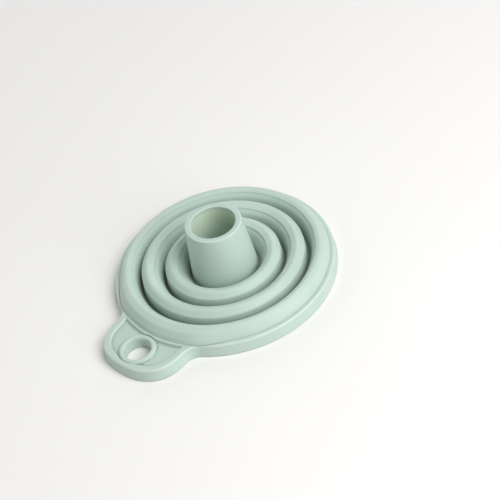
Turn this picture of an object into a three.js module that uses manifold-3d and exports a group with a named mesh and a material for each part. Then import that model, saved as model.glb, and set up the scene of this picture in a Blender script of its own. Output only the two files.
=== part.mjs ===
// A collapsible silicone kitchen funnel, folded flat: mouth down, spout up.
// Millimetres, +Z up. The mouth's rim rests on z = 0, and the hang tab points along -Y.
// The funnel is one soft moulding. Each stiff zone and each thin fold between them is a mesh of its own,
// with a small gap where the real silicone runs on, so that the stiff zones can slide out of each other.
import * as THREE from "three";
import { mergeVertices } from "three/addons/utils/BufferGeometryUtils.js";
import Module from "manifold-3d";

// Gap between neighbouring zones, and the number of sides on every turned zone.
const GAP = 0.3;
const SIDES = 64;

// Mouth rim: an upright band with a narrow ledge on top, on the funnel's axis.
const RIM_RADIUS = 39;
const RIM_HEIGHT = 4.6;
const RIM_WALL = 2.4;
const RIM_DRAFT = 0.45;
const RIM_EDGE = 0.5;
const LEDGE_WIDTH = 1.15;

// Tiers: stiff rings with a rounded crown. The thin folds start at each tier's inner corner.
const TIER_WALL = 1.8;
const CORNER_RADII = { inner: 15.7, middle: 24.05, outer: 32.4 };
const CORNER_HEIGHT = 8.7;
const CROWN = { out: 1.6, up: 0.3 };
const SHOULDER = { out: 3.5, up: -0.65 };
const BROW = { out: 4.75, up: -2.1 };
const FOOT_OUT = 5.1;
const FOOT_HEIGHT = 1.3;
const CURVE_STEPS = 9;

// The outer tier's crown is narrower, and runs down as a broad cone to the rim's ledge.
const OUTER_CROWN = { out: 0.7, up: 0.1 };
const OUTER_SHOULDER = { out: 1.6, up: -0.3 };
const OUTER_FLANK = { out: 3.4, up: -1.95 };
const OUTER_FOOT = { out: 5.2, up: -3.95 };

// Folds: thin webs that hang from a tier's corner down to the foot of the next zone inwards.
const FOLD_WALL = 0.85;
const FOLD_TOP_DEPTH = 2.4;
const FOLD_FOOT_DEPTH = 1.2;

// Spout: a tapered tube with a rounded lip.
const SPOUT_TIP_HEIGHT = 23.8;
const SPOUT_TIP_RADIUS = 9.7;
const SPOUT_FOOT_RADIUS = 11.75;
const SPOUT_WALL = 2.05;
const LIP_ROUND = 0.45;

// Hang tab: a plate with a raised border, whose end is a superellipse, filleted into the rim.
const TAB_END = 53.9;
const TAB_HALF_WIDTH = 15.6;
const TAB_SQUARENESS = 2.45;
const TAB_FILLET = 6;
const TAB_BORDER = 1.9;
const TAB_FLOOR = 3.6;
const TAB_END_STEPS = 40;
const FILLET_STEPS = 8;

// Eyelet: a raised ring through the tab.
const EYELET_OFFSET = 45.7;
const EYELET_OUTER = 6.4;
const EYELET_HOLE = 4.5;
const EYELET_EDGE = 0.4;
const EYELET_SIDES = 40;

// The origin is the middle of the footprint, so the funnel's axis stands a little behind it.
const AXIS_Y = (TAB_END - RIM_RADIUS) / 2;

const COLOURS = { rim: 0xb3ccbe, tier: 0xb5cebf, fold: 0xa4bfb0, spout: 0xb7cfc0, tab: 0xb4ccc0 };

const wasm = await Module();
wasm.setup();

const point = (radius, height) => new THREE.Vector2(radius, height);

// A point stated from a tier's inner corner: outwards along the radius and up.
const fromCorner = (cornerRadius, { out, up }) => point(cornerRadius + out, CORNER_HEIGHT + up);

// Turns a closed outline of (radius, height) points, listed anticlockwise, about the Z axis.
function turned(outline, sides = SIDES) {
  const closed = [...outline, outline[0]];
  return new THREE.LatheGeometry(closed, sides).rotateX(Math.PI / 2);
}

// The outline of a wall of even thickness: the visible face, listed from its foot to its corner,
// then the same face pushed in and walked back.
function wallOutline(face, thickness) {
  const back = face.map((p, i) => {
    const before = face[Math.max(i - 1, 0)];
    const after = face[Math.min(i + 1, face.length - 1)];
    const along = after.clone().sub(before).normalize();
    return point(p.x - along.y * thickness, p.y + along.x * thickness);
  });
  return [...face, ...back.reverse()];
}

function solidFrom(geometry) {
  const bare = geometry.clone();
  bare.deleteAttribute("normal");
  bare.deleteAttribute("uv");
  const merged = mergeVertices(bare, 1e-4);
  return new wasm.Manifold(
    new wasm.Mesh({
      numProp: 3,
      vertProperties: merged.attributes.position.array,
      triVerts: new Uint32Array(merged.index.array),
    }),
  );
}

function geometryFrom(solid) {
  const mesh = solid.getMesh();
  const geometry = new THREE.BufferGeometry();
  geometry.setAttribute("position", new THREE.BufferAttribute(mesh.vertProperties, 3));
  geometry.setIndex(new THREE.BufferAttribute(mesh.triVerts, 1));
  geometry.computeVertexNormals();
  return geometry;
}

function mouthRim() {
  const topOuter = RIM_RADIUS - RIM_DRAFT;
  const inner = RIM_RADIUS - RIM_WALL;
  const ledgeInner = RIM_RADIUS - LEDGE_WIDTH;
  return turned([
    point(inner, 0),
    point(RIM_RADIUS, 0),
    point(topOuter, RIM_HEIGHT - RIM_EDGE),
    point(topOuter - RIM_EDGE, RIM_HEIGHT),
    point(ledgeInner, RIM_HEIGHT),
    point(inner, RIM_HEIGHT - LEDGE_WIDTH),
  ]);
}

function outerTier() {
  const places = [{ out: 0, up: 0 }, OUTER_CROWN, OUTER_SHOULDER, OUTER_FLANK, OUTER_FOOT];
  const curve = new THREE.SplineCurve(places.map((place) => fromCorner(CORNER_RADII.outer, place)));
  return turned(wallOutline(curve.getPoints(CURVE_STEPS).reverse(), TIER_WALL));
}

function nestedTier(cornerRadius) {
  const places = [{ out: 0, up: 0 }, CROWN, SHOULDER, BROW];
  const curve = new THREE.SplineCurve(places.map((place) => fromCorner(cornerRadius, place)));
  const foot = point(cornerRadius + FOOT_OUT, FOOT_HEIGHT);
  const face = [...curve.getPoints(CURVE_STEPS), foot];
  return turned(wallOutline(face.reverse(), TIER_WALL));
}

// A fold from the corner of one tier to the foot of the zone inside it.
function fold(cornerRadius, footRadius) {
  const top = cornerRadius - GAP;
  const bottom = footRadius + GAP;
  const valley = FOOT_HEIGHT + FOLD_FOOT_DEPTH - GAP;
  return turned([
    point(top, CORNER_HEIGHT),
    point(bottom, valley),
    point(bottom, FOOT_HEIGHT - GAP),
    point(bottom + FOLD_WALL, FOOT_HEIGHT - GAP),
    point(top, CORNER_HEIGHT - FOLD_TOP_DEPTH),
  ]);
}

function spout() {
  const bore = (radius) => radius - SPOUT_WALL;
  return turned([
    point(bore(SPOUT_FOOT_RADIUS), FOOT_HEIGHT),
    point(SPOUT_FOOT_RADIUS, FOOT_HEIGHT),
    point(SPOUT_TIP_RADIUS, SPOUT_TIP_HEIGHT - LIP_ROUND),
    point(SPOUT_TIP_RADIUS - LIP_ROUND, SPOUT_TIP_HEIGHT),
    point(bore(SPOUT_TIP_RADIUS) + LIP_ROUND, SPOUT_TIP_HEIGHT),
    point(bore(SPOUT_TIP_RADIUS), SPOUT_TIP_HEIGHT - LIP_ROUND),
  ]);
}

// The tab's outline, inset by a margin. It runs from inside the rim, out round the end and back.
function tabShape(inset) {
  const halfWidth = TAB_HALF_WIDTH - inset;
  const fillet = TAB_FILLET + inset;
  const rim = RIM_RADIUS - inset;
  const filletY = halfWidth + fillet;
  const filletX = Math.sqrt((rim + fillet) ** 2 - filletY ** 2);
  const reach = TAB_END - inset - filletX;
  const meets = Math.atan2(filletY, filletX);
  const half = [];
  for (let i = 0; i <= FILLET_STEPS; i++) {
    const angle = THREE.MathUtils.lerp(meets + Math.PI, 1.5 * Math.PI, i / FILLET_STEPS);
    half.push(point(filletX + fillet * Math.cos(angle), filletY + fillet * Math.sin(angle)));
  }
  for (let i = 1; i <= TAB_END_STEPS / 2; i++) {
    const angle = (Math.PI / 2) * (1 - (2 * i) / TAB_END_STEPS);
    const across = Math.sin(angle) ** (2 / TAB_SQUARENESS);
    const along = Math.cos(angle) ** (2 / TAB_SQUARENESS);
    half.push(point(filletX + reach * along, halfWidth * across));
  }
  const mirrored = half.slice(0, -1).reverse();
  return new THREE.Shape([...half, ...mirrored.map((p) => point(p.x, -p.y))]);
}

function slab(shape, low, high) {
  const geometry = new THREE.ExtrudeGeometry(shape, { depth: high - low, bevelEnabled: false });
  return solidFrom(geometry.translate(0, 0, low));
}

function cylinder(radius, sides, x) {
  const tall = 4 * RIM_HEIGHT;
  const geometry = new THREE.CylinderGeometry(radius, radius, tall, sides);
  return solidFrom(geometry.rotateX(Math.PI / 2).translate(x, 0, 0));
}

// The tab is drawn along +X and turned to -Y. Its plate stops short of the rim and of the eyelet.
function hangTab() {
  const plate = slab(tabShape(0), 0, RIM_HEIGHT)
    .subtract(slab(tabShape(TAB_BORDER), TAB_FLOOR, 2 * RIM_HEIGHT))
    .subtract(cylinder(RIM_RADIUS + GAP, 4 * SIDES, 0))
    .subtract(cylinder(EYELET_OUTER + GAP, EYELET_SIDES, EYELET_OFFSET));
  return geometryFrom(plate).rotateZ(-Math.PI / 2);
}

function eyeletRing() {
  const outline = [
    point(EYELET_HOLE, 0),
    point(EYELET_OUTER, 0),
    point(EYELET_OUTER, RIM_HEIGHT - EYELET_EDGE),
    point(EYELET_OUTER - EYELET_EDGE, RIM_HEIGHT),
    point(EYELET_HOLE + EYELET_EDGE, RIM_HEIGHT),
    point(EYELET_HOLE, RIM_HEIGHT - EYELET_EDGE),
  ];
  return turned(outline, EYELET_SIDES).translate(0, -EYELET_OFFSET, 0);
}

function zone(name, geometry, color, roughness) {
  const material = new THREE.MeshStandardMaterial({ color, roughness, metalness: 0 });
  const mesh = new THREE.Mesh(geometry, material);
  mesh.name = name;
  return mesh;
}

const funnel = new THREE.Group();
funnel.position.y = AXIS_Y;
funnel.add(
  zone("mouth_rim", mouthRim(), COLOURS.rim, 0.55),
  zone("hang_tab", hangTab(), COLOURS.tab, 0.6),
  zone("eyelet_ring", eyeletRing(), COLOURS.tab, 0.55),
  zone("outer_tier", outerTier(), COLOURS.tier, 0.55),
  zone("outer_fold", fold(CORNER_RADII.outer, CORNER_RADII.middle + FOOT_OUT), COLOURS.fold, 0.65),
  zone("middle_tier", nestedTier(CORNER_RADII.middle), COLOURS.tier, 0.55),
  zone("middle_fold", fold(CORNER_RADII.middle, CORNER_RADII.inner + FOOT_OUT), COLOURS.fold, 0.65),
  zone("inner_tier", nestedTier(CORNER_RADII.inner), COLOURS.tier, 0.55),
  zone("inner_fold", fold(CORNER_RADII.inner, SPOUT_FOOT_RADIUS), COLOURS.fold, 0.65),
  zone("spout", spout(), COLOURS.spout, 0.5),
);

export default funnel;
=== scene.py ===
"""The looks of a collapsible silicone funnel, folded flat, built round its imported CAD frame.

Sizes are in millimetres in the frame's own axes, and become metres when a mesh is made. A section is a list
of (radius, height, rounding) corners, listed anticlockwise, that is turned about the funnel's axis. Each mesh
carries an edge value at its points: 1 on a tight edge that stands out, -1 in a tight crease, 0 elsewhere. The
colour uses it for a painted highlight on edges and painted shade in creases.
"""

import math

import bmesh
import bpy
import numpy as np
from mathutils import Matrix, Vector


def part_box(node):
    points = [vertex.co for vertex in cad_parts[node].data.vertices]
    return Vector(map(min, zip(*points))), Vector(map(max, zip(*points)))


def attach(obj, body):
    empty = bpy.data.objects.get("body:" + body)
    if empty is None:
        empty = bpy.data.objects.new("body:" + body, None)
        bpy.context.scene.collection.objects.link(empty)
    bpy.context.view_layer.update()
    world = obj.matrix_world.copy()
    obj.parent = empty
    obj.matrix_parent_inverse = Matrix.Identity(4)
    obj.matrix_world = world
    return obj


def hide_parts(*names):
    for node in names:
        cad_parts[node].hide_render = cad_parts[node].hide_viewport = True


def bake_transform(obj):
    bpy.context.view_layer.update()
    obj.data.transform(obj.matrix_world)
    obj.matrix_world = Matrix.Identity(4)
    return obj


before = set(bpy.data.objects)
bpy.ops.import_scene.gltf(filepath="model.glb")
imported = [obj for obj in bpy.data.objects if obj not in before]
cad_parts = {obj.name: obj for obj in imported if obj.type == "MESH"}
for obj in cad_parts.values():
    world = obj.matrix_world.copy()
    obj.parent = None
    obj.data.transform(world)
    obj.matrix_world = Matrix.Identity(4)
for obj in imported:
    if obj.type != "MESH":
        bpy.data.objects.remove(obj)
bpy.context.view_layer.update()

MM = 0.001


def cad_corners(node):
    """A CAD node's lowest and highest corner, in millimetres."""
    low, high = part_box(node)
    return low / MM, high / MM


def cad_radius(node):
    low, high = cad_corners(node)
    return (high.x - low.x) / 2


# The funnel's axis and main sizes, read from the frame. A tier's inner corner is drawn a little lower than
# the CAD's. It lies inside the tier's widest radius by the tier's reach.
spout_low, spout_high = cad_corners("spout")
AXIS_Y = (spout_low.y + spout_high.y) / 2
RIM_RADIUS = cad_radius("mouth_rim")
RIM_TOP = cad_corners("mouth_rim")[1].z
CORNER_DROP = 0.42
CORNER_HEIGHT = cad_corners("outer_fold")[1].z - CORNER_DROP
FOOT_HEIGHT = spout_low.z
TIER_REACH = 5.1
OUTER_REACH = 5.2
MIDDLE_FOOT = cad_radius("middle_tier")
INNER_FOOT = cad_radius("inner_tier")
MIDDLE_CORNER = MIDDLE_FOOT - TIER_REACH
INNER_CORNER = INNER_FOOT - TIER_REACH
OUTER_CORNER = cad_radius("outer_tier") - OUTER_REACH
SPOUT_FOOT = cad_radius("spout")
SPOUT_TOP = spout_high.z

# Mesh density: sides of a turned piece, steps in a rounded corner, points on the curves of the tab and rim
# before they are spaced evenly, longest step on a flat stretch, and the first step beside a corner. A corner
# no rounder than TIGHT_CORNER gets an edge value.
SIDES = 192
SPOUT_SIDES = 384
CUTTER_SIDES = 96
ARC_STEPS = 7
END_SAMPLES = 400
FILLET_SAMPLES = 120
RIM_SAMPLES = 900
FLAT_STEP = 1.6
FOLD_STEP = 0.3
SUPPORT = 0.12
TIGHT_CORNER = 0.6

# Where the rings of points stand on the skin of the rim and tab, as shares of each stretch.
UNDERSIDE_SHARES = (0.05, 0.25, 0.5, 0.75, 0.95)
FOOT_SHARES = np.linspace(0, 1, 6)
BAND_SHARES = (0.04, 0.35, 0.65, 0.96)
BRIM_SHARES = np.linspace(0, 1, 8)
BORDER_SHARES = (0.12, 0.35, 0.65, 0.88, 0.97)
POCKET_WALL_SHARES = np.linspace(0, 1, 9)
POCKET_FLOOR_SHARES = (0.15, 0.4, 0.7, 0.9)

# Rim band: an upright wall with draft, a narrow ledge on top, and the steep last part of the cone above it.
RIM_WALL = 2.4
RIM_DRAFT = 0.5
RIM_FOOT_EDGE = 0.35
RIM_TOP_EDGE = 0.8
RIM_STEP = 1.2
LEDGE_TOP = RIM_TOP - 0.04
LEDGE_INNER = 36.9
LEDGE_JOIN = 0.32
LEDGE_JOIN_GAP = 0.02
LEDGE_WALL = 1.2
CONE_FOOT_RISE = 1.2
CONE_FOOT_LEAN = 0.45

# Hang tab: a superellipse end with fillets into the rim, a raised border and a sunken floor. The pocket's
# wall gets a painted highlight along its brow and painted shade along the crease at its foot.
TAB_END = AXIS_Y - cad_corners("hang_tab")[0].y
TAB_HALF_WIDTH = 15.6
TAB_SQUARENESS = 2.45
TAB_FILLET = 6
TAB_STEP = 0.3
TAB_BORDER = 1.5
TAB_FLOOR = 3.6
TAB_LEDGE_RADIUS = 38.8
TAB_LEDGE_CLEARANCE = 0.3
POCKET_WALL = 0.5
BROW_PLACE = 0.08
BROW_WIDTH = 0.16
CREASE_WIDTH = 0.2
LEAST_STEP = 0.012

# Beside the tab the cone's foot reaches further out, fully up to the first angle and not past the second.
# The flare starts at its own radius, and moves only what is above its lowest height.
TAB_FLARE = 1.25
TAB_FLARE_START = 33.5
TAB_FLARE_LOWEST = LEDGE_TOP - 0.1
TAB_FLARE_ANGLES = (math.radians(24), math.radians(46))

# Eyelet: a rounded ring through the tab, in a shallow recess that leaves a fine seam round it.
eyelet_low, eyelet_high = cad_corners("eyelet_ring")
EYELET_SHIFT = 0.4
EYELET_Y = (eyelet_low.y + eyelet_high.y) / 2 + EYELET_SHIFT
EYELET_OUTER = cad_radius("eyelet_ring") + 0.05
EYELET_HOLE = 4.45
EYELET_LIFT = 0.02
EYELET_CUT = 5.6
EYELET_SEAM = 0.1
EYELET_SEAM_DEPTH = 0.05

# Tiers and folds. A fold leaves the corner in the direction FOLD_START, and the tier's own lip goes the same
# way for a short stretch. At its inner end the fold runs a little way into the wall that it carries.
TIER_WALL = 1.7
FOLD_START = np.array([-0.655, -0.755])
FOLD_LIP = 0.6
FOLD_LIP_OVERLAP = 0.3
FOLD_SKIN = 0.03
FOLD_WALL = 0.8
FOLD_BEND = 2.0
FOLD_BACK_BEND = 2.15
FOLD_CURVE = 4.0
FOLD_FLOOR = FOOT_HEIGHT + 0.5
FOLD_BOTTOM = FOOT_HEIGHT - 0.2
FOLD_OVERLAP = 0.7
FOLD_TOE = 0.6
CREVICE = 0.2

# Spout: a tapered tube with a faint mould line up each side. Its inner wall carries painted light that grows
# towards the mouth.
SPOUT_TIP = 9.7
SPOUT_WALL = 2.05
PARTING_HEIGHT = 0.14
PARTING_WIDTH = 1.6
PARTING_FADE = 0.8
BORE_LIGHT_START = 2.0
BORE_LIGHT_LIP = 0.4
BORE_LIGHT_FADE = 1.2

# Colours, and the share of the tint that each shade of it keeps. The bore's colour is painted light, the edge
# share is a painted highlight, and the crease and crevice shares are painted shade.
TINT = (0.497, 0.612, 0.556)
# Painted light in the spout's bore: paler and warmer than the tint.
BORE_LIGHT = (0.66, 0.78, 0.62)
DEEP_SHARE = (0.94, 0.965, 0.955)
# Painted highlight on tight edges.
EDGE_HIGHLIGHT_SHARE = (1.17, 1.1, 1.13)
# Painted shade in tight creases.
CREASE_SHADE_SHARE = (0.7, 0.7, 0.7)
# Painted shade deep in crevices.
CREVICE_SHADE_SHARE = (0.42, 0.42, 0.42)
EDGE_HIGHLIGHT_STRENGTH = 0.75
EDGE_POLISH = -0.1
FLOOR_COLOUR = (0.87, 0.86, 0.85)
FLOOR_ROUGHNESS = 0.7

# Silicone: how light scatters in it, how far the painted shade in a crevice reaches, and its noises. Each
# noise is a scale and a detail, and the drift and clouds use the given range of it.
SILICONE_IOR = 1.41
SCATTER_RADIUS = (1.0, 1.1, 0.7)
SCATTER_SCALE = 0.0012
SHEEN = 0.06
SHEEN_ROUGHNESS = 0.5
CREVICE_SHADE_REACH = 0.0035
CREVICE_SHADE_RANGE = (0.03, 0.38)
CREVICE_SHADE_SAMPLES = 8
DRIFT_NOISE = (55, 3)
DRIFT_RANGE = (0.35, 0.65)
CLOUD_NOISE = (140, 4)
CLOUD_RANGE = (0.3, 0.7)
CLOUD_ROUGHNESS = (-0.05, 0.06)
GRAIN_NOISE = (2600, 2)
GRAIN_STRENGTH = 0.25
GRAIN_DEPTH = 0.00004

# Camera: it stands between the tab and +X, leans to one side, and aims beside the funnel's axis.
CAMERA_DISTANCE = 500
CAMERA_AZIMUTH = math.radians(51)
CAMERA_ELEVATION = math.radians(43.4)
CAMERA_ROLL = math.radians(-15.65)
CAMERA_LENS = 104
CAMERA_CLIP = 0.01
AIM_RIGHT = 8.07
AIM_UP = 7.55

# Stage and lights, in metres. A light has a name, an azimuth in degrees to the right of the camera's, an
# elevation in degrees and a power in watts.
FLOOR_HALF = 3.0
FLOOR_DROP = 0.0001
WORLD_STRENGTH = 0.03
LIGHT_SIZE = 0.5
LIGHT_DISTANCE = 0.7
LIGHTS = [
    ("key", 52, 58, 4.0),
    ("fill", 36, 26, 2.4),
    ("rear_right", 150, 25, 1.1),
    ("rear_left", 210, 25, 1.2),
    ("left", 270, 25, 1.2),
]


# ---------- outlines and meshes ----------

def unit(vector):
    return vector / np.linalg.norm(vector)


def share_between(value, start, end):
    """How far a value has come from start to end, held between 0 and 1."""
    return np.clip((value - start) / (end - start), 0, 1)


def smooth_step(share):
    """An S-shaped step from 0 to 1."""
    return share * share * (3 - 2 * share)


def arc_points(start, arrive, leave, rounding):
    """The points of a rounded corner, each with its edge value."""
    cross = arrive[0] * leave[1] - arrive[1] * leave[0]
    turn = math.atan2(cross, float(arrive @ leave))
    side = math.copysign(1, cross)
    inward = side * np.array([-arrive[1], arrive[0]])
    centre = start + inward * rounding
    spoke = -inward * rounding
    sharpness = side if rounding <= TIGHT_CORNER else 0.0
    points = []
    for step in range(ARC_STEPS + 1):
        share = step / ARC_STEPS
        angle = turn * share
        x = spoke[0] * math.cos(angle) - spoke[1] * math.sin(angle)
        y = spoke[0] * math.sin(angle) + spoke[1] * math.cos(angle)
        points.append((centre[0] + x, centre[1] + y, sharpness * math.sin(math.pi * share)))
    return points


def flat_points(start, end, flat_step):
    """Points between two corners: one close to each end, which keeps the shading flat, and even steps."""
    a, b = np.array(start[:2]), np.array(end[:2])
    length = np.linalg.norm(b - a)
    if length < 3 * SUPPORT:
        return []
    inner = length - 2 * SUPPORT
    steps = max(1, math.ceil(inner / flat_step))
    places = [SUPPORT + inner * k / steps for k in range(steps + 1)]
    return [(*(a + (b - a) * place / length), 0.0) for place in places]


def rounded(corners, flat_step=FLAT_STEP, closed=True):
    """An outline of (radius, height, edge) points through rounded corners. Rounding 0 stays sharp."""
    count = len(corners)
    arcs = []
    for i in range(count):
        before, here, after = (np.array(corners[(i + k) % count][:2], float) for k in (-1, 0, 1))
        rounding = corners[i][2]
        if rounding == 0:
            arcs.append([(here[0], here[1], 0.0)])
            continue
        arrive, leave = unit(here - before), unit(after - here)
        half_turn = math.acos(max(-1.0, min(1.0, float(arrive @ leave)))) / 2
        arcs.append(arc_points(here - arrive * rounding * math.tan(half_turn), arrive, leave, rounding))
    outline = []
    for i in range(count):
        outline += arcs[i]
        if closed or i < count - 1:
            outline += flat_points(arcs[i][-1], arcs[(i + 1) % count][0], flat_step)
    return outline


def mesh_piece(name, rings, edges):
    """A closed mesh from a grid of rings (ring, column, xyz) that joins up both ways round."""
    ring_count, column_count, _ = rings.shape
    mesh = bpy.data.meshes.new(name)
    faces = []
    for i in range(ring_count):
        for j in range(column_count):
            next_i, next_j = (i + 1) % ring_count, (j + 1) % column_count
            corners = (i, j), (next_i, j), (next_i, next_j), (i, next_j)
            faces.append([row * column_count + column for row, column in corners])
    mesh.from_pydata((rings.reshape(-1, 3) * MM).tolist(), [], faces)
    edge = mesh.attributes.new("edge", "FLOAT", "POINT")
    edge.data.foreach_set("value", edges.astype(np.float32).ravel())
    piece = bpy.data.objects.new(name, mesh)
    bpy.context.scene.collection.objects.link(piece)
    face_outwards(mesh)
    return piece


def face_outwards(mesh):
    shape = bmesh.new()
    shape.from_mesh(mesh)
    bmesh.ops.recalc_face_normals(shape, faces=shape.faces)
    shape.to_mesh(mesh)
    shape.free()
    mesh.shade_smooth()


def keep_rest_place(piece):
    """Stores each vertex's rest place, so that the grain stays on the surface when a fold bends."""
    mesh = piece.data
    places = np.zeros(len(mesh.vertices) * 3, np.float32)
    mesh.vertices.foreach_get("co", places)
    attribute = mesh.attributes.new("place", "FLOAT_VECTOR", "POINT")
    attribute.data.foreach_set("vector", places)


def turned(name, outline, centre_y=AXIS_Y, sides=SIDES, swell=None):
    """Turns an outline about the upright line at x = 0, y = centre_y. swell adds to a point's radius."""
    angles = np.arange(sides) * 2 * math.pi / sides
    points = np.array(outline)
    radius = np.repeat(points[:, :1], sides, axis=1)
    height = np.repeat(points[:, 1:2], sides, axis=1)
    edges = np.repeat(points[:, 2:3], sides, axis=1)
    if swell:
        radius = radius + swell(radius, height, angles)
    rings = np.stack([radius * np.cos(angles), centre_y + radius * np.sin(angles), height], axis=2)
    return mesh_piece(name, rings, edges)


# ---------- the turned pieces ----------

def from_corner(corner_radius, places):
    """Corners stated from a tier's inner corner: outwards, up and rounding."""
    return [(corner_radius + out, CORNER_HEIGHT + up, rounding) for out, up, rounding in places]


def corner_lip():
    """The tier's own start of the fold, and the end of the tier's underside behind it."""
    lip = FOLD_START * FOLD_LIP
    return [(lip[0], lip[1], 0), (0.35, -1.2, 0), (1.0, -1.35, 0.4)]


def nested_tier(name, corner_radius):
    """A stiff ring: a steep outer wall, a rounded shoulder and crown, and a flat facet down to the corner."""
    foot_up = FOOT_HEIGHT - CORNER_HEIGHT
    places = [
        (TIER_REACH - TIER_WALL, foot_up, 0.6),
        (TIER_REACH, foot_up, 0.6),
        (4.45, -1.15, 1.1),
        (2.95, 0.42, 1.6),
        (1.9, 0.9, 1.3),
        (0, 0, 1.2),
        *corner_lip(),
        (2.1, -0.8, 0.9),
        (3.15, -2.1, 1.2),
    ]
    return turned(name, rounded(from_corner(corner_radius, places)))


def middle_ring():
    return nested_tier("middle_ring", MIDDLE_CORNER)


def inner_ring():
    return nested_tier("inner_ring", INNER_CORNER)


def cone_and_underside():
    """The section from the ledge up the broad cone, over its corner and back down inside to the table."""
    inner = RIM_RADIUS - RIM_WALL
    places = [
        (2.9, -0.45, 1.5),
        (1.35, 0.42, 1.1),
        (0, 0, 1.2),
        *corner_lip(),
        (2.0, -2.1, 1.5),
    ]
    return rounded([
        (LEDGE_INNER + LEDGE_JOIN, LEDGE_TOP, 0),
        (LEDGE_INNER, LEDGE_TOP, 0.35),
        (LEDGE_INNER - CONE_FOOT_LEAN, LEDGE_TOP + CONE_FOOT_RISE, 0.9),
        *from_corner(OUTER_CORNER, places),
        (inner, LEDGE_TOP - LEDGE_WALL, 0.4),
        (inner, 0, RIM_FOOT_EDGE),
        (inner + 2 * RIM_FOOT_EDGE, 0, 0),
    ], closed=False)


def fold(name, corner_radius, foot_radius):
    """A thin web that curves from a tier's corner down to the foot of the zone inside it."""
    through_wall = np.array([-FOLD_START[1], FOLD_START[0]])
    corner = np.array([corner_radius, CORNER_HEIGHT])
    face = corner + through_wall * FOLD_SKIN
    back = corner + through_wall * FOLD_WALL
    crease = foot_radius + CREVICE
    buried = foot_radius - FOLD_OVERLAP
    outline = rounded([
        (*(face + FOLD_START * FOLD_LIP_OVERLAP), 0),
        (*(face + FOLD_START * FOLD_BEND), FOLD_CURVE),
        (crease, FOLD_FLOOR, 0.3),
        (buried, FOLD_FLOOR, 0),
        (buried, FOLD_BOTTOM, 0.3),
        (crease + FOLD_WALL * FOLD_TOE, FOLD_BOTTOM, 0.45),
        (*(back + FOLD_START * FOLD_BACK_BEND), FOLD_CURVE - FOLD_WALL),
        (*(back + FOLD_START * FOLD_LIP), 0),
    ], FOLD_STEP)
    return turned(name, outline)


def spout_wall_middle(height):
    """The radius of the middle of the spout's tapered wall."""
    taper = (SPOUT_FOOT - SPOUT_TIP) / (SPOUT_TOP - FOOT_HEIGHT)
    return SPOUT_FOOT - SPOUT_WALL / 2 - (height - FOOT_HEIGHT) * taper


def parting_ridge(radius, height, angles):
    """A faint ridge up each side of the spout, where the two halves of the mould met."""
    from_side = np.abs(np.sin(angles)) * SPOUT_FOOT
    ridge = PARTING_HEIGHT * np.clip(1 - (from_side / (PARTING_WIDTH / 2)) ** 2, 0, 1)
    outside = radius > spout_wall_middle(height)
    below_lip = share_between(height, SPOUT_TOP - PARTING_FADE, SPOUT_TOP - 2 * PARTING_FADE)
    return ridge * outside * below_lip


def mark_bore(piece):
    """Marks the spout's inner wall for painted light: a paler, warmer colour that stands in for light coming
    through the wall, strongest just under the lip.
    """
    mesh = piece.data
    bore = mesh.attributes.new("bore", "FLOAT", "POINT")
    bore_light_top = SPOUT_TOP - BORE_LIGHT_LIP
    for vertex in mesh.vertices:
        radius = math.hypot(vertex.co.x, vertex.co.y - AXIS_Y * MM) / MM
        height = vertex.co.z / MM
        if radius < spout_wall_middle(height):
            below_lip = share_between(height, bore_light_top, bore_light_top - BORE_LIGHT_FADE)
            daylight = share_between(height, BORE_LIGHT_START, SPOUT_TOP)
            bore.data[vertex.index].value = below_lip * daylight


def pouring_spout():
    outline = rounded([
        (SPOUT_FOOT - SPOUT_WALL, FOOT_HEIGHT, 0.6),
        (SPOUT_FOOT, FOOT_HEIGHT, 0.6),
        (SPOUT_TIP, SPOUT_TOP, 0.45),
        (SPOUT_TIP - SPOUT_WALL, SPOUT_TOP, 0.4),
    ])
    piece = turned("pouring_spout", outline, sides=SPOUT_SIDES, swell=parting_ridge)
    mark_bore(piece)
    return piece


def eyelet():
    outline = rounded([
        (EYELET_HOLE, EYELET_LIFT, 0.4),
        (EYELET_OUTER - 0.1, EYELET_LIFT, 0.2),
        (EYELET_OUTER, RIM_TOP, 0.9),
        (EYELET_HOLE + 0.15, RIM_TOP, 0.85),
    ])
    return turned("eyelet", outline, centre_y=EYELET_Y)


# ---------- rim and tab ----------
# Places here are (along the tab, across it), measured from the funnel's axis, and so are the angles.

def tab_outline():
    """Half of the outline of the rim and tab, from the tab's end round to the far side of the rim."""
    fillet_y = TAB_HALF_WIDTH + TAB_FILLET
    fillet_x = math.sqrt((RIM_RADIUS + TAB_FILLET) ** 2 - fillet_y**2)
    reach = TAB_END - fillet_x
    meets = math.atan2(fillet_y, fillet_x)
    turn = np.linspace(0, math.pi / 2, END_SAMPLES)
    end = np.stack([
        fillet_x + reach * np.cos(turn) ** (2 / TAB_SQUARENESS),
        TAB_HALF_WIDTH * np.sin(turn) ** (2 / TAB_SQUARENESS),
    ], axis=1)
    turn = np.linspace(1.5 * math.pi, math.pi + meets, FILLET_SAMPLES)
    fillet = np.stack([fillet_x + TAB_FILLET * np.cos(turn), fillet_y + TAB_FILLET * np.sin(turn)], axis=1)
    turn = np.linspace(meets, math.pi, RIM_SAMPLES)
    rim = RIM_RADIUS * np.stack([np.cos(turn), np.sin(turn)], axis=1)
    tab = evenly(np.concatenate([end, fillet[1:]]), TAB_STEP)
    return np.concatenate([tab, evenly(rim, RIM_STEP)[1:]])


def evenly(points, step):
    """The same curve with its points a step apart."""
    gaps = np.linalg.norm(np.diff(points, axis=0), axis=1)
    travelled = np.concatenate([[0], np.cumsum(gaps)])
    count = max(2, round(travelled[-1] / step))
    wanted = np.linspace(0, travelled[-1], count + 1)
    return np.stack([np.interp(wanted, travelled, points[:, k]) for k in range(2)], axis=1)


def whole_loop(half):
    """The half outline and its mirror image, as one closed loop."""
    mirrored = half[1:-1][::-1] * np.array([1, -1])
    return np.concatenate([half, mirrored])


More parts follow.
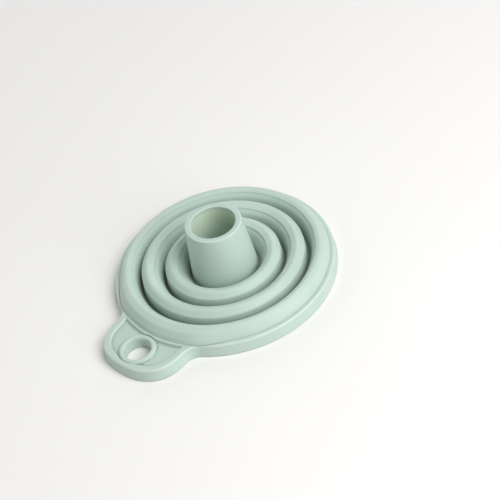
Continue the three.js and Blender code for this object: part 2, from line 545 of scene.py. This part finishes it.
def outward(loop):
    """Unit normals of a closed loop, pointing out of it."""
    along = np.roll(loop, -1, axis=0) - np.roll(loop, 1, axis=0)
    normal = np.stack([along[:, 1], -along[:, 0]], axis=1)
    return normal / np.linalg.norm(normal, axis=1, keepdims=True)


def distance_to(loop, points):
    """The distance from each point to a closed loop of short straight steps."""
    start, end = loop, np.roll(loop, -1, axis=0)
    best = np.full(len(points), np.inf)
    for a, step in zip(start, end - start):
        share = np.clip((points - a) @ step / (step @ step), 0, 1)
        gap = np.linalg.norm(points - (a + share[:, None] * step), axis=1)
        best = np.minimum(best, gap)
    return best


def polar(radius, angle):
    return np.stack([radius * np.cos(angle), radius * np.sin(angle)], axis=1)


def from_axis(points):
    return np.linalg.norm(points, axis=1)


def near_tab(angle):
    """1 along the tab, 0 well to the side of it, and a smooth step between."""
    full, none = TAB_FLARE_ANGLES
    return smooth_step(share_between(np.abs(angle), none, full))


def flare(radius, height, angle):
    """How much further out the cone is beside the tab."""
    if height <= TAB_FLARE_LOWEST:
        return 0.0
    return TAB_FLARE * share_between(radius, TAB_FLARE_START, LEDGE_INNER) * near_tab(angle)


def top_places(brim, normal):
    """Rings of places across the top, from its outer edge inwards, and each column's angle."""
    depths = [TAB_BORDER * share for share in BORDER_SHARES]
    depths += [TAB_BORDER + POCKET_WALL * share for share in POCKET_WALL_SHARES]
    rings = []
    last = brim
    # Straight in from the edge. A column that comes near the ledge only creeps on towards the axis.
    for depth in depths:
        place = brim - normal * depth
        near_ledge = from_axis(place) < TAB_LEDGE_RADIUS - TAB_LEDGE_CLEARANCE
        creep = last * (1 - LEAST_STEP / from_axis(last))[:, None]
        place[near_ledge] = creep[near_ledge]
        rings.append(place)
        last = place
    # Then towards the axis, over the floor, up the ledge's own wall and across the ledge.
    angle = np.arctan2(last[:, 1], last[:, 0])
    radius = from_axis(last)
    ledge_wall = np.minimum(radius, TAB_LEDGE_RADIUS + POCKET_WALL)
    wanted = [radius + (ledge_wall - radius) * share for share in POCKET_FLOOR_SHARES]
    wanted += [TAB_LEDGE_RADIUS + POCKET_WALL * (1 - share) for share in POCKET_WALL_SHARES]
    wanted += [LEDGE_INNER + LEDGE_JOIN + LEDGE_JOIN_GAP + TAB_FLARE * near_tab(angle)]
    for next_radius in wanted:
        radius = np.minimum(next_radius, radius - LEAST_STEP)
        rings.append(polar(radius, angle))
    return rings, angle


def ring(places, height, edge=0.0):
    """One ring of the skin: each column's place, height and edge value."""
    heights = np.broadcast_to(height, len(places))
    edges = np.broadcast_to(edge, len(places))
    return np.column_stack([places, heights, edges])


def underside_rings(loop, normal, angle, inner_radius):
    """The flat underside, from inside the band out to the foot of the rim and tab."""
    start = polar(inner_radius, angle)
    end = loop - normal * RIM_FOOT_EDGE
    return [ring(start + (end - start) * share, 0.0) for share in UNDERSIDE_SHARES]


def band_rings(loop, normal):
    """The outer wall of the rim and tab: a rounded foot, the wall with its draft, and a rounded brim."""
    brim_height = LEDGE_TOP - RIM_TOP_EDGE
    rings = []
    for share in FOOT_SHARES:
        turn = share * math.pi / 2
        inset = RIM_FOOT_EDGE * (1 - math.sin(turn))
        height = RIM_FOOT_EDGE * (1 - math.cos(turn))
        rings.append(ring(loop - normal * inset, height, math.sin(math.pi * share)))
    for share in BAND_SHARES:
        height = RIM_FOOT_EDGE + (brim_height - RIM_FOOT_EDGE) * share
        rings.append(ring(loop - normal * RIM_DRAFT * share, height))
    for share in BRIM_SHARES:
        turn = share * math.pi / 2
        inset = RIM_DRAFT + RIM_TOP_EDGE * (1 - math.cos(turn))
        height = brim_height + RIM_TOP_EDGE * math.sin(turn)
        rings.append(ring(loop - normal * inset, height, math.sin(math.pi * share)))
    return rings


def top_rings(tops, brim):
    """The level top, with the tab's pocket sunk between its border and the ledge."""
    places = np.concatenate(tops)
    from_border = distance_to(brim, places) - TAB_BORDER
    from_ledge = from_axis(places) - TAB_LEDGE_RADIUS
    inside = np.minimum(from_border, from_ledge)
    # A painted highlight along the pocket's brow and painted shade along the crease at its foot, as edge
    # values.
    brow = np.exp(-(((inside - BROW_PLACE) / BROW_WIDTH) ** 2))
    crease = np.exp(-(((inside - POCKET_WALL) / CREASE_WIDTH) ** 2))
    edges = (brow - crease).reshape(len(tops), -1)
    sunk = smooth_step(share_between(inside, 0, POCKET_WALL)).reshape(len(tops), -1)
    heights = LEDGE_TOP - (LEDGE_TOP - TAB_FLOOR) * sunk
    return [ring(*one) for one in zip(tops, heights, edges)]


def rim_tab_and_cone():
    """The rim's band, the tab and the outer cone, as one closed skin of rings round the axis."""
    loop = whole_loop(tab_outline())
    normal = outward(loop)
    brim = loop - normal * (RIM_DRAFT + RIM_TOP_EDGE)
    tops, angle = top_places(brim, normal)
    section = cone_and_underside()
    inner_radius = section[-1][0]

    rings = underside_rings(loop, normal, angle, inner_radius)
    rings += band_rings(loop, normal)
    rings += top_rings(tops, brim)
    for radius, height, edge in section:
        rings.append(ring(polar(radius + flare(radius, height, angle), angle), height, edge))

    along, across, height, edges = np.moveaxis(np.array(rings), 2, 0)
    placed = np.stack([across, AXIS_Y - along, height], axis=2)
    piece = mesh_piece("rim_tab_and_cone", placed, edges)
    cut_away(piece, EYELET_CUT, -RIM_TOP, 2 * RIM_TOP)
    cut_away(piece, EYELET_OUTER + EYELET_SEAM, TAB_FLOOR - EYELET_SEAM_DEPTH, 2 * RIM_TOP)
    return piece


def cut_away(piece, radius, low, high):
    """Takes an upright cylinder about the eyelet's centre out of a piece."""
    mesh = bpy.data.meshes.new("cutter")
    shape = bmesh.new()
    bmesh.ops.create_cone(
        shape,
        cap_ends=True,
        segments=CUTTER_SIDES,
        radius1=radius * MM,
        radius2=radius * MM,
        depth=(high - low) * MM,
        matrix=Matrix.Translation((0, EYELET_Y * MM, (low + high) / 2 * MM)),
    )
    shape.to_mesh(mesh)
    shape.free()
    cutter = bpy.data.objects.new("cutter", mesh)
    bpy.context.scene.collection.objects.link(cutter)
    cut = piece.modifiers.new("cut", "BOOLEAN")
    cut.operation = "DIFFERENCE"
    cut.solver = "EXACT"
    cut.object = cutter
    bpy.context.view_layer.update()
    finished = piece.evaluated_get(bpy.context.evaluated_depsgraph_get())
    new_mesh = bpy.data.meshes.new_from_object(finished)
    piece.modifiers.clear()
    piece.data = new_mesh
    bpy.data.objects.remove(cutter)


# ---------- materials ----------

def shaded(tint, shares):
    """A shade of a colour, with no channel above 1."""
    return tuple(min(1.0, channel * share) for channel, share in zip(tint, shares))


def attribute_node(tree, name):
    node = tree.nodes.new("ShaderNodeAttribute")
    node.attribute_name = name
    return node


def noise(tree, place, scale, detail):
    node = tree.nodes.new("ShaderNodeTexNoise")
    node.inputs["Scale"].default_value = scale
    node.inputs["Detail"].default_value = detail
    tree.links.new(place.outputs["Vector"], node.inputs["Vector"])
    return node.outputs["Fac"]


def ranged(tree, value, low, high, from_low=0.0, from_high=1.0):
    """Maps from_low to low and from_high to high, and holds the value at those ends."""
    node = tree.nodes.new("ShaderNodeMapRange")
    node.inputs["From Min"].default_value = from_low
    node.inputs["From Max"].default_value = from_high
    node.inputs["To Min"].default_value = low
    node.inputs["To Max"].default_value = high
    tree.links.new(value, node.inputs["Value"])
    return node.outputs["Result"]


def add(tree, first, second):
    node = tree.nodes.new("ShaderNodeMath")
    node.operation = "ADD"
    tree.links.new(first, node.inputs[0])
    tree.links.new(second, node.inputs[1])
    return node.outputs[0]


def mix(tree, factor, first, second):
    """A mix of two colours, each a plain colour or another node's output."""
    node = tree.nodes.new("ShaderNodeMix")
    node.data_type = "RGBA"
    tree.links.new(factor, node.inputs["Factor"])
    for name, colour in (("A", first), ("B", second)):
        socket = [i for i in node.inputs if i.name == name and i.type == "RGBA"][0]
        if isinstance(colour, tuple):
            socket.default_value = (*colour, 1)
        else:
            tree.links.new(colour, socket)
    return [o for o in node.outputs if o.type == "RGBA"][0]


def silicone_colour(tree, place, edge, tint, bore_light):
    """Slow drift, a painted highlight on edges, painted shade in creases and crevices, and painted light in
    the bore.
    """
    drift = ranged(tree, noise(tree, place, *DRIFT_NOISE), 0, 1, *DRIFT_RANGE)
    colour = mix(tree, drift, shaded(tint, DEEP_SHARE), tint)
    # Painted highlight: tight edges, and the brow of the tab's pocket, are lighter.
    edge_highlight = ranged(tree, edge.outputs["Fac"], 0, EDGE_HIGHLIGHT_STRENGTH)
    colour = mix(tree, edge_highlight, colour, shaded(tint, EDGE_HIGHLIGHT_SHARE))
    # Painted shade: tight creases, and the crease at the foot of the tab's pocket wall, are darker.
    crease_shade = ranged(tree, edge.outputs["Fac"], 0, 1, 0, -1)
    colour = mix(tree, crease_shade, colour, shaded(tint, CREASE_SHADE_SHARE))
    # Painted shade: the colour darkens where the surface is hemmed in, as in the crevices between tiers.
    opening = tree.nodes.new("ShaderNodeAmbientOcclusion")
    opening.inputs["Distance"].default_value = CREVICE_SHADE_REACH
    opening.samples = CREVICE_SHADE_SAMPLES
    openness = ranged(tree, opening.outputs["AO"], 0, 1, *CREVICE_SHADE_RANGE)
    colour = mix(tree, openness, shaded(tint, CREVICE_SHADE_SHARE), colour)
    if bore_light:
        bore = attribute_node(tree, "bore")
        # Painted light: the bore's wall turns paler and warmer where the bore value is high.
        colour = mix(tree, bore.outputs["Fac"], colour, bore_light)
    return colour


def silicone_grain(tree, place):
    """A fine moulded grain, as a bumped normal."""
    bump = tree.nodes.new("ShaderNodeBump")
    bump.inputs["Strength"].default_value = GRAIN_STRENGTH
    bump.inputs["Distance"].default_value = GRAIN_DEPTH
    tree.links.new(noise(tree, place, *GRAIN_NOISE), bump.inputs["Height"])
    return bump.outputs["Normal"]


def silicone(name, tint, roughness=0.5, subsurface=0.12, bore_light=None):
    """Satin silicone, a little glossier on its edges, with a cloudy roughness."""
    material = bpy.data.materials.new(name)
    material.use_nodes = True
    tree = material.node_tree
    shader = tree.nodes["Principled BSDF"]
    shader.inputs["IOR"].default_value = SILICONE_IOR
    shader.inputs["Subsurface Weight"].default_value = subsurface
    shader.inputs["Subsurface Radius"].default_value = SCATTER_RADIUS
    shader.inputs["Subsurface Scale"].default_value = SCATTER_SCALE
    shader.inputs["Sheen Weight"].default_value = SHEEN
    shader.inputs["Sheen Roughness"].default_value = SHEEN_ROUGHNESS

    place = attribute_node(tree, "place")
    edge = attribute_node(tree, "edge")
    tree.links.new(silicone_colour(tree, place, edge, tint, bore_light), shader.inputs["Base Color"])
    clouds = noise(tree, place, *CLOUD_NOISE)
    smoothest, roughest = (roughness + change for change in CLOUD_ROUGHNESS)
    cloudy = ranged(tree, clouds, smoothest, roughest, *CLOUD_RANGE)
    polished = ranged(tree, edge.outputs["Fac"], 0, EDGE_POLISH)
    tree.links.new(add(tree, cloudy, polished), shader.inputs["Roughness"])
    tree.links.new(silicone_grain(tree, place), shader.inputs["Normal"])
    return material


def plain_floor():
    material = bpy.data.materials.new("pale_floor")
    material.use_nodes = True
    shader = material.node_tree.nodes["Principled BSDF"]
    shader.inputs["Base Color"].default_value = (*FLOOR_COLOUR, 1)
    shader.inputs["Roughness"].default_value = FLOOR_ROUGHNESS
    return material


# ---------- assembly ----------

def dress(piece, material, replaces):
    keep_rest_place(piece)
    piece.data.materials.clear()
    piece.data.materials.append(material)
    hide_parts(*replaces)


def hinge(piece):
    """Bakes a fold's placement into its mesh. The fold runs from the tier that it hangs from to the zone that
    it carries.
    """
    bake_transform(piece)


rim_finish = silicone("rim_silicone", TINT)
tier_finish = silicone("tier_silicone", TINT, roughness=0.48)
fold_finish = silicone("fold_silicone", TINT, roughness=0.54, subsurface=0.2)
spout_finish = silicone("spout_silicone", TINT, roughness=0.46, bore_light=BORE_LIGHT)

stiff_pieces = [
    (rim_tab_and_cone(), "mouth", rim_finish, "rim_silicone", ["mouth_rim", "hang_tab", "outer_tier"]),
    (eyelet(), "mouth", rim_finish, "rim_silicone", ["eyelet_ring"]),
    (middle_ring(), "middle_stage", tier_finish, "tier_silicone", ["middle_tier"]),
    (inner_ring(), "inner_stage", tier_finish, "tier_silicone", ["inner_tier"]),
    (pouring_spout(), "spout_stage", spout_finish, "spout_silicone", ["spout"]),
]
for piece, body, finish, slot, nodes in stiff_pieces:
    dress(piece, finish, nodes)
    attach(piece, body)

folds = [
    ("outer_hinge", OUTER_CORNER, MIDDLE_FOOT, "mouth", "middle_stage", "outer_fold"),
    ("middle_hinge", MIDDLE_CORNER, INNER_FOOT, "middle_stage", "inner_stage", "middle_fold"),
    ("inner_hinge", INNER_CORNER, SPOUT_FOOT, "inner_stage", "spout_stage", "inner_fold"),
]
for name, corner_radius, foot_radius, outer_body, inner_body, node in folds:
    piece = fold(name, corner_radius, foot_radius)
    dress(piece, fold_finish, [node])
    hinge(piece)


# ---------- stage, light and camera ----------

def floor():
    half = FLOOR_HALF
    mesh = bpy.data.meshes.new("floor")
    corners = [(-half, -half, 0), (half, -half, 0), (half, half, 0), (-half, half, 0)]
    mesh.from_pydata(corners, [], [(0, 1, 2, 3)])
    mesh.materials.append(plain_floor())
    surface = bpy.data.objects.new("floor", mesh)
    surface.location.z = -FLOOR_DROP
    bpy.context.scene.collection.objects.link(surface)


def direction(azimuth, elevation):
    """From the funnel's axis: azimuths turn from -Y towards +X, elevations rise from the table."""
    return Vector((
        math.sin(azimuth) * math.cos(elevation),
        -math.cos(azimuth) * math.cos(elevation),
        math.sin(elevation),
    ))


def area_light(name, azimuth, elevation, power):
    """A square soft light that faces the funnel."""
    light = bpy.data.lights.new(name, "AREA")
    light.size = LIGHT_SIZE
    light.energy = power
    lamp = bpy.data.objects.new(name, light)
    towards = direction(CAMERA_AZIMUTH + math.radians(azimuth), math.radians(elevation))
    lamp.location = Vector((0, AXIS_Y * MM, 0)) + towards * LIGHT_DISTANCE
    lamp.rotation_mode = "QUATERNION"
    lamp.rotation_quaternion = towards.to_track_quat("Z", "Y")
    bpy.context.scene.collection.objects.link(lamp)


def studio():
    scene = bpy.context.scene
    scene.view_settings.view_transform = "Standard"
    world = bpy.data.worlds.new("studio")
    world.use_nodes = True
    background = world.node_tree.nodes["Background"]
    background.inputs["Color"].default_value = (1, 1, 1, 1)
    background.inputs["Strength"].default_value = WORLD_STRENGTH
    scene.world = world


def camera():
    away = direction(CAMERA_AZIMUTH, CAMERA_ELEVATION)
    level_right = Vector((math.cos(CAMERA_AZIMUTH), math.sin(CAMERA_AZIMUTH), 0))
    level_up = away.cross(level_right)
    right = level_right * math.cos(CAMERA_ROLL) + level_up * math.sin(CAMERA_ROLL)
    up = away.cross(right)
    rim_centre = Vector((0, AXIS_Y, 0))
    place = rim_centre + away * CAMERA_DISTANCE
    aim = rim_centre + right * AIM_RIGHT + up * AIM_UP
    back = (place - aim).normalized()
    side = up.cross(back).normalized()
    turn = Matrix((side, back.cross(side), back)).transposed()
    lens = bpy.data.cameras.new("camera")
    lens.lens = CAMERA_LENS
    lens.clip_start = CAMERA_CLIP
    body = bpy.data.objects.new("camera", lens)
    body.matrix_world = Matrix.Translation(place * MM) @ turn.to_4x4()
    bpy.context.scene.collection.objects.link(body)
    bpy.context.scene.camera = body


camera()
floor()
studio()
for light in LIGHTS:
    area_light(*light)
